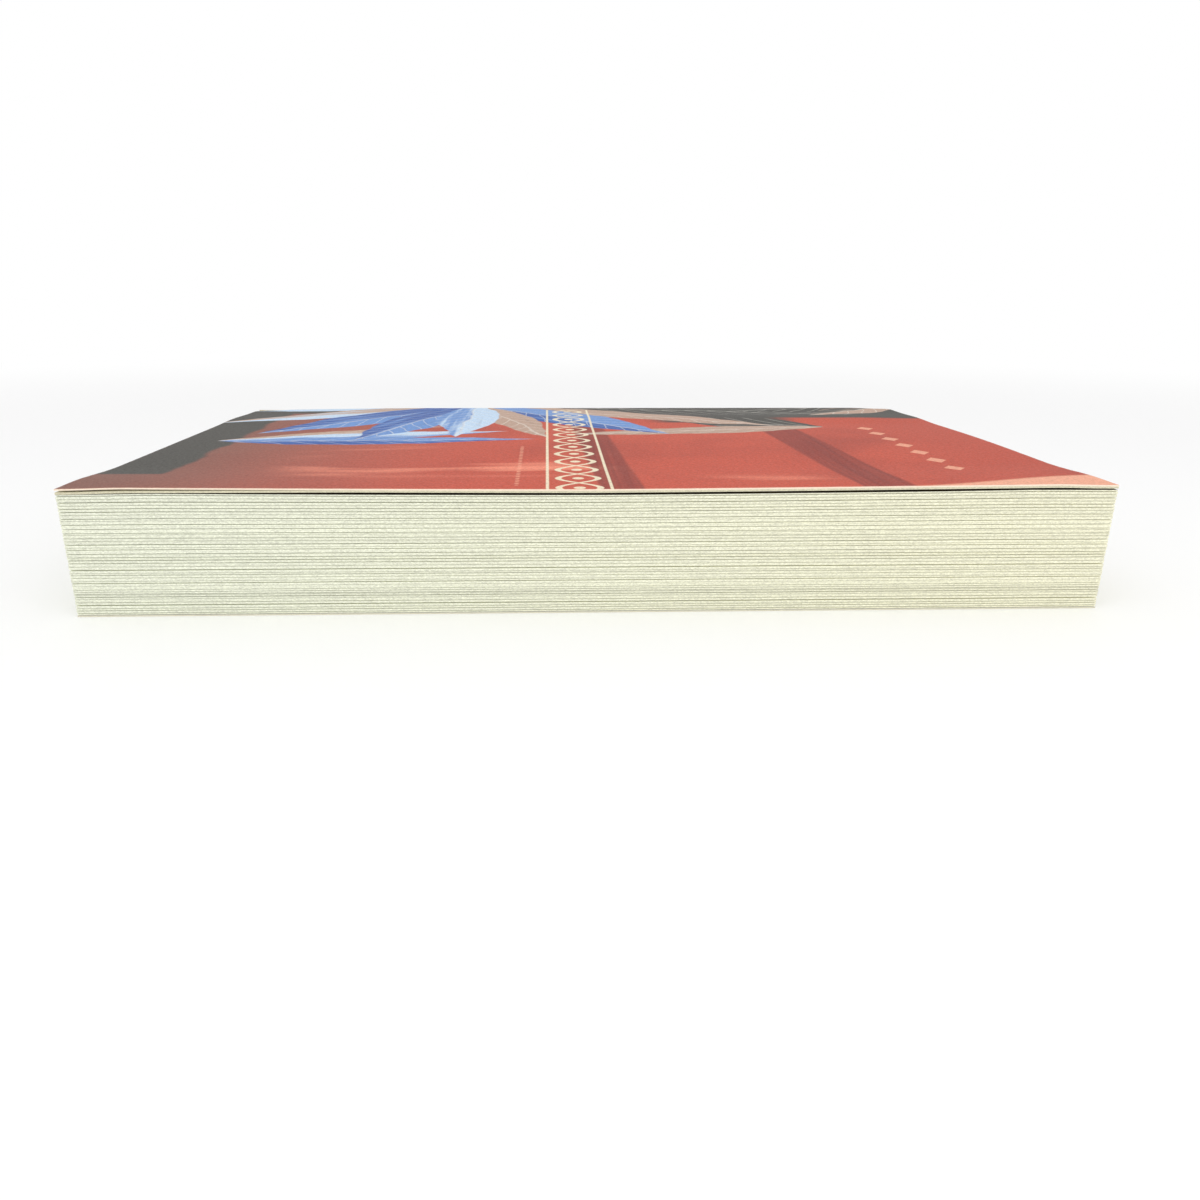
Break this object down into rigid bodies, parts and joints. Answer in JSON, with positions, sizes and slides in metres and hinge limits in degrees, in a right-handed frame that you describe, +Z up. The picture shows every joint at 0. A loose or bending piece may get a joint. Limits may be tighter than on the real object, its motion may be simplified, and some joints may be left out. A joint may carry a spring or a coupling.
{
  "type": "paperback book",
  "caption": "Thick paperback book lying closed on its back, with a glued page block and a card cover whose front and back swing open at creases.",
  "frame": {"origin": "under the middle of the closed book, on the surface that its back cover lies on", "axes": "+X along the spine from the tail to the head, +Y from the fore-edge to the spine, +Z up through the leaves to the front cover"},
  "size_m": [0.216, 0.1397, 0.0273],
  "materials": {
    "book_paper": "uncoated cream book paper, cut edges",
    "binding_glue": "set hot-melt adhesive",
    "spine_print": "printed card under a smooth film",
    "front_cover_print": "printed card under a smooth film",
    "back_cover_print": "printed card under a smooth film"
  },
  "bodies": {
    "bound_leaves": {"page_block": "book_paper", "spine_glue": "binding_glue", "cover_spine": "spine_print"},
    "front_cover": {"front_cover": "front_cover_print"},
    "back_cover": {"back_cover": "back_cover_print"}
  },
  "joints": [
    {"name": "front_cover_hinge", "type": "hinge", "parent": "bound_leaves", "child": "front_cover", "pos_m": [0, 0.06385, 0.02698], "axis": [-1, 0, 0], "range_deg": [0, 180]},
    {"name": "back_cover_hinge", "type": "hinge", "parent": "bound_leaves", "child": "back_cover", "pos_m": [0, 0.06385, -0.0002], "axis": [1, 0, 0], "range_deg": [0, 180]}
  ]
}
